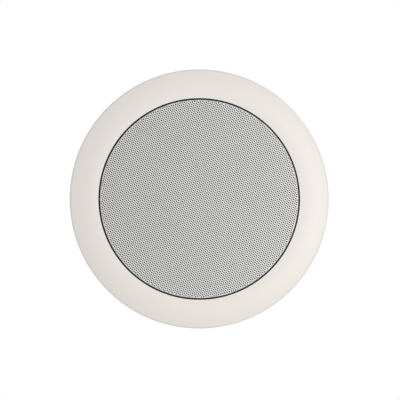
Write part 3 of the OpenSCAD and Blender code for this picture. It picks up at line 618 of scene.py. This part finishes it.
def make_piece(name, points, faces, material, slot, body=None, sharp=35):
    mesh = bpy.data.meshes.new(name)
    mesh.from_pydata([tuple(p) for p in points], [], faces)
    mesh.validate()
    mesh.polygons.foreach_set("use_smooth", [True] * len(mesh.polygons))
    mesh.set_sharp_from_angle(angle=math.radians(sharp))
    mesh.materials.append(material)
    piece = bpy.data.objects.new(name, mesh)
    bpy.context.scene.collection.objects.link(piece)
    if body:
        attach(piece, body)
    mesh.calc_loop_triangles()
    print(name, "triangles:", len(mesh.loop_triangles))
    return piece


def spin(section, steps):
    """Points and faces of a closed section, given as (radius, height) in mm, spun about the axis."""
    count = len(section)
    points = []
    for k in range(steps):
        a = 2 * math.pi * k / steps
        points += [(r * MM * math.cos(a), r * MM * math.sin(a), z * MM) for r, z in section]
    faces = []
    for k in range(steps):
        here, there = k * count, (k + 1) % steps * count
        for i in range(count):
            j = (i + 1) % count
            faces.append((here + i, there + i, there + j, here + j))
    return points, faces


def smooth_line(knots):
    """A soft curve that passes through every knot, as closely spaced points."""
    k = [np.array(p, float) for p in knots]
    k = [2 * k[0] - k[1], *k, 2 * k[-1] - k[-2]]
    line = []
    for a, b, c, d in zip(k, k[1:], k[2:], k[3:]):
        for t in np.arange(SPAN_STEPS) / SPAN_STEPS:
            line.append(0.5 * (2 * b + (c - a) * t + (2 * a - 5 * b + 4 * c - d) * t * t
                               + (3 * b - a - 3 * c + d) * t ** 3))
    return [*line, k[-2]]


def sweep(line, radius, sides=12):
    """Points and faces of a round wire along a line in mm, with closed ends."""
    p = np.array(line, float) * MM
    along = np.gradient(p, axis=0)
    along /= np.linalg.norm(along, axis=1)[:, None]
    across = np.cross(along[0], [0.3, 0.5, 0.8])
    points, faces = [], []
    for i in range(len(p)):
        across = across - along[i] * across.dot(along[i])
        across /= np.linalg.norm(across)
        other = np.cross(along[i], across)
        for k in range(sides):
            a = 2 * math.pi * k / sides
            points.append(p[i] + radius * MM * (math.cos(a) * across + math.sin(a) * other))
    for i in range(len(p) - 1):
        for k in range(sides):
            a, b = i * sides + k, i * sides + (k + 1) % sides
            faces.append((a, b, b + sides, a + sides))
    faces.append(tuple(reversed(range(sides))))
    faces.append(tuple(range((len(p) - 1) * sides, len(p) * sides)))
    return points, faces


print("mesh helpers ready")

# %% [markdown]
# ## The grille
# The real grille is cut from thin steel sheet that was punched with some seven thousand small holes,
# and its edge is then turned back in a press. The CAD solid has a coarser pattern of holes. Here the
# blank is laid out flat, with holes nearly as close as the 1.68 mm read from the photograph. A
# slightly wider spacing and holes of six corners keep the piece under 200,000 triangles. The hole
# edges and the rim are given to a flat triangulation, which fills the sheet between them. Each point
# then moves to where the press would put it, so the holes run on round the bend. A front and a back
# skin and the walls of the holes make one closed piece. A bump map would be easier, but light has
# to pass through real holes.

# %% Grille sizes
grille_low, grille_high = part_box("grille")
GRILLE_R = grille_high.x / MM
FACE_Z = grille_low.z / MM
EDGE_Z = grille_high.z / MM
SHEET = 0.7
BEND_R = 1.0
PRESS_R = GRILLE_R - BEND_R
BEND_END = PRESS_R + BEND_R * math.pi / 2
BLANK_R = BEND_END + EDGE_Z - FACE_Z - BEND_R
FIELD_R = PRESS_R + 1.2
HOLE_PITCH = 1.72
HOLE_R = 0.64
HOLE_SIDES = 6
HOLE_MARGIN = 0.1
ROW_TURN = math.radians(44.7)
RIM_STEPS = 168
EDGE_ROUND = 0.15
print("grille radius", round(GRILLE_R, 2), "face at", round(FACE_Z, 2), "blank", round(BLANK_R, 2))

# %% Punched blank, laid out flat
KEEP_INSIDE = 1
SAME_POINT = 1e-5


def hole_centres():
    reach = math.ceil(FIELD_R / HOLE_PITCH * 2 / math.sqrt(3))
    centres = []
    for i in range(-reach, reach + 1):
        for j in range(-reach, reach + 1):
            x = HOLE_PITCH * (i + j / 2)
            y = HOLE_PITCH * j * math.sqrt(3) / 2
            if math.hypot(x, y) + HOLE_R < FIELD_R - HOLE_MARGIN:
                centres.append((x, y))
    c, s = math.cos(ROW_TURN), math.sin(ROW_TURN)
    return [(c * x - s * y, s * x + c * y) for x, y in centres]


def punched_blank():
    """Flat points and triangles of the blank, each hole's corner numbers, and the rim's first."""
    flat, edges, holes = [], [], []
    for x, y in hole_centres():
        first = len(flat)
        for k in range(HOLE_SIDES):
            a = ROW_TURN + math.radians(360 / HOLE_SIDES * (k + 0.5))
            flat.append(Vector((x + HOLE_R * math.cos(a), y + HOLE_R * math.sin(a))))
            edges.append((first + k, first + (k + 1) % HOLE_SIDES))
        holes.append(range(first, first + HOLE_SIDES))
    rim = len(flat)
    for k in range(RIM_STEPS):
        a = 2 * math.pi * k / RIM_STEPS
        flat.append(Vector((FIELD_R * math.cos(a), FIELD_R * math.sin(a))))
        edges.append((rim + k, rim + (k + 1) % RIM_STEPS))
    _, _, triangles, origin, _, _ = delaunay_2d_cdt(flat, edges, [], KEEP_INSIDE, SAME_POINT)
    owner = [o[0] for o in origin]
    kept = []
    for t in triangles:
        ids = [owner[v] for v in t]
        in_hole = max(ids) < rim and len({i // HOLE_SIDES for i in ids}) == 1
        if not in_hole:
            kept.append(tuple(ids))
    return flat, kept, holes, rim


flat, sheet_faces, holes, rim_first = punched_blank()
print("holes:", len(holes), "flat triangles:", len(sheet_faces))

# %% Pressed and closed grille
def pressed(x, y, depth):
    """Where a point of the flat blank lies after the press: depth 0 is the face, SHEET the back."""
    flat_r = math.hypot(x, y)
    turned = min(max(flat_r - PRESS_R, 0), BEND_END - PRESS_R) / BEND_R
    bend = BEND_R - depth
    r = min(flat_r, PRESS_R) + bend * math.sin(turned)
    z = FACE_Z + depth + bend * (1 - math.cos(turned)) + max(flat_r - BEND_END, 0)
    return (x / flat_r * r * MM, y / flat_r * r * MM, z * MM)


def closed_grille():
    count = len(flat)
    points = [pressed(p.x, p.y, 0) for p in flat] + [pressed(p.x, p.y, SHEET) for p in flat]
    faces = []
    for t in sheet_faces:
        a, b, c = (flat[i] for i in t)
        turns_left = (b - a).cross(c - a) > 0
        down = tuple(reversed(t)) if turns_left else t
        faces.append(down)
        faces.append(tuple(i + count for i in reversed(down)))
    for hole in holes:
        for k in range(HOLE_SIDES):
            a, b = hole[k], hole[(k + 1) % HOLE_SIDES]
            faces.append((a, b, b + count, a + count))
    rings = [[rim_first + k for k in range(RIM_STEPS)]]
    section = [(BEND_END, 0), (BLANK_R - EDGE_ROUND, 0), (BLANK_R, EDGE_ROUND),
               (BLANK_R, SHEET - EDGE_ROUND), (BLANK_R - EDGE_ROUND, SHEET), (BEND_END, SHEET)]
    for blank_r, depth in section:
        first = len(points)
        for k in range(RIM_STEPS):
            a = 2 * math.pi * k / RIM_STEPS
            points.append(pressed(blank_r * math.cos(a), blank_r * math.sin(a), depth))
        rings.append([first + k for k in range(RIM_STEPS)])
    rings.append([rim_first + k + count for k in range(RIM_STEPS)])
    for low, high in zip(rings, rings[1:]):
        for k in range(RIM_STEPS):
            j = (k + 1) % RIM_STEPS
            faces.append((low[k], low[j], high[j], high[k]))
    return points, faces


grille_points, grille_faces = closed_grille()
grille_sheet = make_piece("grille_sheet", grille_points, grille_faces, grille_paint,
                          "grille_paint", "speaker_body")
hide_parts("grille")

# %% [markdown]
# ## Surround and spider
# The cone hangs in two corrugated cloth rings: the surround at its edge, and the spider near the
# coil. They let it move along its axis and in no other way. Each is a thin closed section with
# smooth waves, spun about the axis. The inner edge of each ring has to follow the cone while the
# outer edge stays with the basket; here each ring is made on no body. Each ring slopes from edge
# to edge.

# %% Helper: wavy cloth section
CLOTH_T = 0.5
WAVE_H = 0.55
WAVE_STEPS = 10
ROUND_STEPS = 144
CONE_NECK, CONE_EDGE = 13.0, 57.4
CONE_TIP_Z, CONE_DEPTH, CONE_CURVE = 14.8, 15.0, 0.86


def cloth_section(start, end, waves, lead_in, lead_out):
    """Closed section of a cloth with waves from start to end and flat parts before and after."""
    a, b = np.array(start, float), np.array(end, float)
    along = (b - a) / np.linalg.norm(b - a)
    side = np.array([-along[1], along[0]])
    line = [np.array(p, float) for p in lead_in]
    for t in np.linspace(0, 1, waves * WAVE_STEPS + 1):
        rise = 0.5 - 0.5 * math.cos(2 * math.pi * waves * t)
        line.append(a + (b - a) * t - side * WAVE_H * rise)
    line += [np.array(p, float) for p in lead_out]
    line = np.array(line)
    run = np.gradient(line, axis=0)
    run /= np.linalg.norm(run, axis=1)[:, None]
    left = np.stack([-run[:, 1], run[:, 0]], axis=1)
    back = (line + left * CLOTH_T)[::-1]
    return [tuple(p) for p in line] + [tuple(p) for p in back]


def cone_height(r):
    """Height of the curved cone's front at a radius."""
    out = (r - CONE_NECK) / (CONE_EDGE - CONE_NECK)
    return CONE_TIP_Z + CONE_DEPTH * (1 - out ** CONE_CURVE)


print("cone height at 30 mm:", round(cone_height(30), 2))

# %% Surround
LIP = 0.65
LAND_Z = 10.5
section = cloth_section((57.8, cone_height(CONE_EDGE) - LIP), (63.7, LAND_Z - 0.3), 3,
                        [(r, cone_height(r) - LIP) for r in (54.8, 56.4)],
                        [(65.2, LAND_Z - 0.05), (66.6, LAND_Z)])
surround_cloth = make_piece("surround_cloth", *spin(section, ROUND_STEPS), edge_cloth, "edge_cloth",
                            sharp=60)
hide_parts("surround")
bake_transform(surround_cloth)

# %% Spider
SEAT_Z = 34.7
section = cloth_section((CONE_NECK, SEAT_Z - 2.8), (31.0, SEAT_Z - 0.2), 5, [],
                        [(r, SEAT_Z) for r in (31.8, 34.0, 36.3)])
spider_disc = make_piece("spider_disc", *spin(section, ROUND_STEPS), spider_cloth, "spider_cloth",
                         sharp=60)
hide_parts("spider")
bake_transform(spider_disc)

# %% [markdown]
# ## Tinsel leads
# Two braided leads carry the signal from the fixed lugs to the moving cone. They hang in a loose
# arc, so that the cone can move without pulling on them. They bend with it; here they are made on no
# body.

# %% Tinsel leads
TAG_ANGLE = math.radians(135)
SLOPE_MID_Z = 26.1
TINSEL_R = 0.45
START_Z = cone_height(30)


def around(r, degrees, z):
    a = TAG_ANGLE + math.radians(degrees)
    return (r * math.cos(a), r * math.sin(a), z)


for side, word in ((1, "a"), (-1, "b")):
    knots = [around(30, 24 * side, START_Z + 1.5), around(32, 23 * side, START_Z + 4),
             around(36, 21 * side, START_Z + 7), around(41, 18 * side, START_Z + 8),
             around(46, 15 * side, START_Z + 6.5), around(49, 12.5 * side, SLOPE_MID_Z + 0.5),
             around(50.5, 11.5 * side, SLOPE_MID_Z - 0.9)]
    tinsel = make_piece("tinsel_lead_" + word, *sweep(smooth_line(knots), TINSEL_R, sides=10),
                        tinsel_braid, "tinsel_braid")
    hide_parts("tinsel_leads")
    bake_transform(tinsel)

# %% [markdown]
# ## Clamp springs
# Each clamp has a torsion spring round its pin. One leg stands on the plastic tower, the coil goes
# round the pin, and the other leg presses on the arm. As the arm folds up, the coil loses part of a
# turn. So the last part of the coil and the long leg ride on the arm, and the rest stays.

# %% Springs in two pieces each
PIN_X, PIN_Z = 77.0, 19.0
WIRE_R, COIL_R, COIL_PITCH, COIL_START = 0.5, 2.35, 1.12, -2.52
ARM_REST = math.radians(20)
ARM_TURN = 110 / 360
TURNS = 4.25 + 20 / 360
LEG_L = 11
COIL_STEPS, END_STEPS, LEG_STEPS = 110, 12, 8


def coil_point(t):
    a = 2 * math.pi * t
    return np.array([-COIL_R * math.cos(a), COIL_START + t * COIL_PITCH, COIL_R * math.sin(a)])


def at_pin(line, side):
    return [(side * (PIN_X + p[0]), side * p[1], PIN_Z + p[2]) for p in line]


split = TURNS - ARM_TURN
foot = coil_point(0) - np.array([0, 0, COIL_R])
standing = [foot - [1.6, 0, 0], foot - [0.9, 0, 0], foot + [-0.25, 0, 0.25], foot + [0, 0, 0.9]]
standing += [coil_point(t) for t in np.linspace(0, split, COIL_STEPS)]
tip = np.array([math.cos(ARM_REST), 0, -math.sin(ARM_REST)])
pressing = [coil_point(t) for t in np.linspace(split, TURNS, END_STEPS)]
pressing += [coil_point(TURNS) + tip * d for d in np.linspace(0.6, LEG_L, LEG_STEPS)]
for side, word in ((1, "right"), (-1, "left")):
    coil = make_piece("spring_coil_" + word, *sweep(at_pin(standing, side), WIRE_R), spring_wire,
                      "spring_wire", "speaker_body")
    leg = make_piece("spring_leg_" + word, *sweep(at_pin(pressing, side), WIRE_R), spring_wire,
                     "spring_wire", word + "_clamp")
    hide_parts("clamp_spring_" + word)
    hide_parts("clamp_spring_" + word)

# %% [markdown]
# ## Hook-up leads
# Insulated leads join the terminal block to the transformer, and the transformer to the lugs of the
# driver. They are soft wires laid by hand, so each is a smooth curve through a few knots. The knots
# are those of the CAD model.

# %% Leads between block, transformer and lugs
LEAD_TOP, BLOCK_TOP, UPRIGHT_Y, BLOCK_BACK_Y, COIL_FACE_Y = 57.1, 57.6, 37.4, -40.6, 39.4
LEAD_R = 0.8


def line_lead(s):
    return [(s * 5, BLOCK_BACK_Y - 4, BLOCK_TOP + 0.2), (s * 5, BLOCK_BACK_Y - 3.8, BLOCK_TOP + 1.6),
            (s * 5.4, BLOCK_BACK_Y - 2, BLOCK_TOP + 2.9), (s * 6.5, BLOCK_BACK_Y + 2, BLOCK_TOP + 2.8),
            (s * 8, -UPRIGHT_Y + 3, LEAD_TOP + 0.8), (s * 9, -20, LEAD_TOP), (s * 9.5, 0, LEAD_TOP),
            (s * 9, 18, LEAD_TOP), (s * 8.4, UPRIGHT_Y - 8, LEAD_TOP + 1.2),
            (s * 8, UPRIGHT_Y - 3, LEAD_TOP + 2.4), (s * 7.6, COIL_FACE_Y - 1.5, LEAD_TOP + 3.2),
            (s * 7.5, COIL_FACE_Y + 0.4, LEAD_TOP + 3.2)]


tag_lead_a = [(-7, COIL_FACE_Y + 0.4, LEAD_TOP + 0.2), (-7.4, COIL_FACE_Y - 1.4, LEAD_TOP + 0.3),
              (-9, UPRIGHT_Y - 1.8, LEAD_TOP + 0.6), (-15.4, UPRIGHT_Y - 3.4, LEAD_TOP + 0.5),
              (-19, UPRIGHT_Y - 4.4, LEAD_TOP - 2.2), (-24, 33, 47), (-30, 38, 38),
              (-33.6, 43, 31), (-33.4, 45.6, 27.6), (-33, 46.2, 26.3)]
tag_lead_b = [(-4, COIL_FACE_Y + 0.4, LEAD_TOP + 0.2), (-4.2, COIL_FACE_Y - 1.4, LEAD_TOP + 0.3),
              (-5.6, UPRIGHT_Y - 3.6, LEAD_TOP + 0.2), (-10, UPRIGHT_Y - 6.2, LEAD_TOP),
              (-16, UPRIGHT_Y - 7.4, LEAD_TOP), (-20.5, UPRIGHT_Y - 7.8, LEAD_TOP - 2.6),
              (-27, 31.5, 46), (-36, 31, 37), (-43, 31.6, 31), (-45.8, 32.6, 27.6), (-46.3, 33, 26.3)]
LEADS = [("line_lead_red", line_lead(1), lead_red), ("line_lead_black", line_lead(-1), lead_black),
         ("tag_lead_a", tag_lead_a, lead_white), ("tag_lead_b", tag_lead_b, lead_white)]
for name, knots, material in LEADS:
    lead = make_piece(name, *sweep(smooth_line(knots), LEAD_R, sides=14), material,
                      "lead_insulation", "speaker_body")
    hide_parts("hookup_leads")

# %% [markdown]
# ## Floor
# Seen from the side, the speaker lies face down on a pale floor, as it does on a shelf. The main
# view looks through that floor from below, and the lamps shine through it. So the floor only shows
# to camera rays that reach its upper side, and it fades out towards its rim, where it meets the
# white background.

# %% Floor
FLOOR_R, FLOOR_Z, FLOOR_SIDES = 1.2, -0.4 * MM, 64
FADE_START, FADE_END = 0.35, 0.95 * FLOOR_R
points = [(FLOOR_R * math.cos(a), FLOOR_R * math.sin(a), FLOOR_Z)
          for a in np.linspace(0, 2 * math.pi, FLOOR_SIDES, endpoint=False)]
floor_mesh = bpy.data.meshes.new("floor")
floor_mesh.from_pydata(points, [], [tuple(range(FLOOR_SIDES))])
floor = bpy.data.objects.new("floor", floor_mesh)
bpy.context.scene.collection.objects.link(floor)
floor_material = bpy.data.materials.new("pale_floor")
floor_material.use_nodes = True
tree = floor_material.node_tree
paint = tree.nodes["Principled BSDF"]
paint.inputs["Base Color"].default_value = (0.82, 0.82, 0.82, 1)
paint.inputs["Roughness"].default_value = 0.9
where = place(tree, "ShaderNodeTexCoord")
length = place(tree, "ShaderNodeVectorMath", operation="LENGTH")
fade = place(tree, "ShaderNodeMapRange", interpolation_type="SMOOTHSTEP")
fade.inputs["From Min"].default_value = FADE_START
fade.inputs["From Max"].default_value = FADE_END
shape = place(tree, "ShaderNodeNewGeometry")
clear = place(tree, "ShaderNodeBsdfTransparent")
rays = place(tree, "ShaderNodeLightPath").outputs
other_rays = math_step(tree, "SUBTRACT", 1.0, rays["Is Camera Ray"])
underside = math_step(tree, "MAXIMUM", other_rays, shape.outputs["Backfacing"])
either = math_step(tree, "MAXIMUM", fade.outputs["Result"], underside)
mixed = place(tree, "ShaderNodeMixShader")
feed(tree, where.outputs["Object"], length.inputs[0])
feed(tree, length.outputs["Value"], fade.inputs["Value"])
feed(tree, either, mixed.inputs[0])
feed(tree, paint.outputs[0], mixed.inputs[1])
feed(tree, clear.outputs[0], mixed.inputs[2])
feed(tree, mixed.outputs[0], tree.nodes["Material Output"].inputs["Surface"])
floor_mesh.materials.append(floor_material)
print("floor radius:", FLOOR_R)
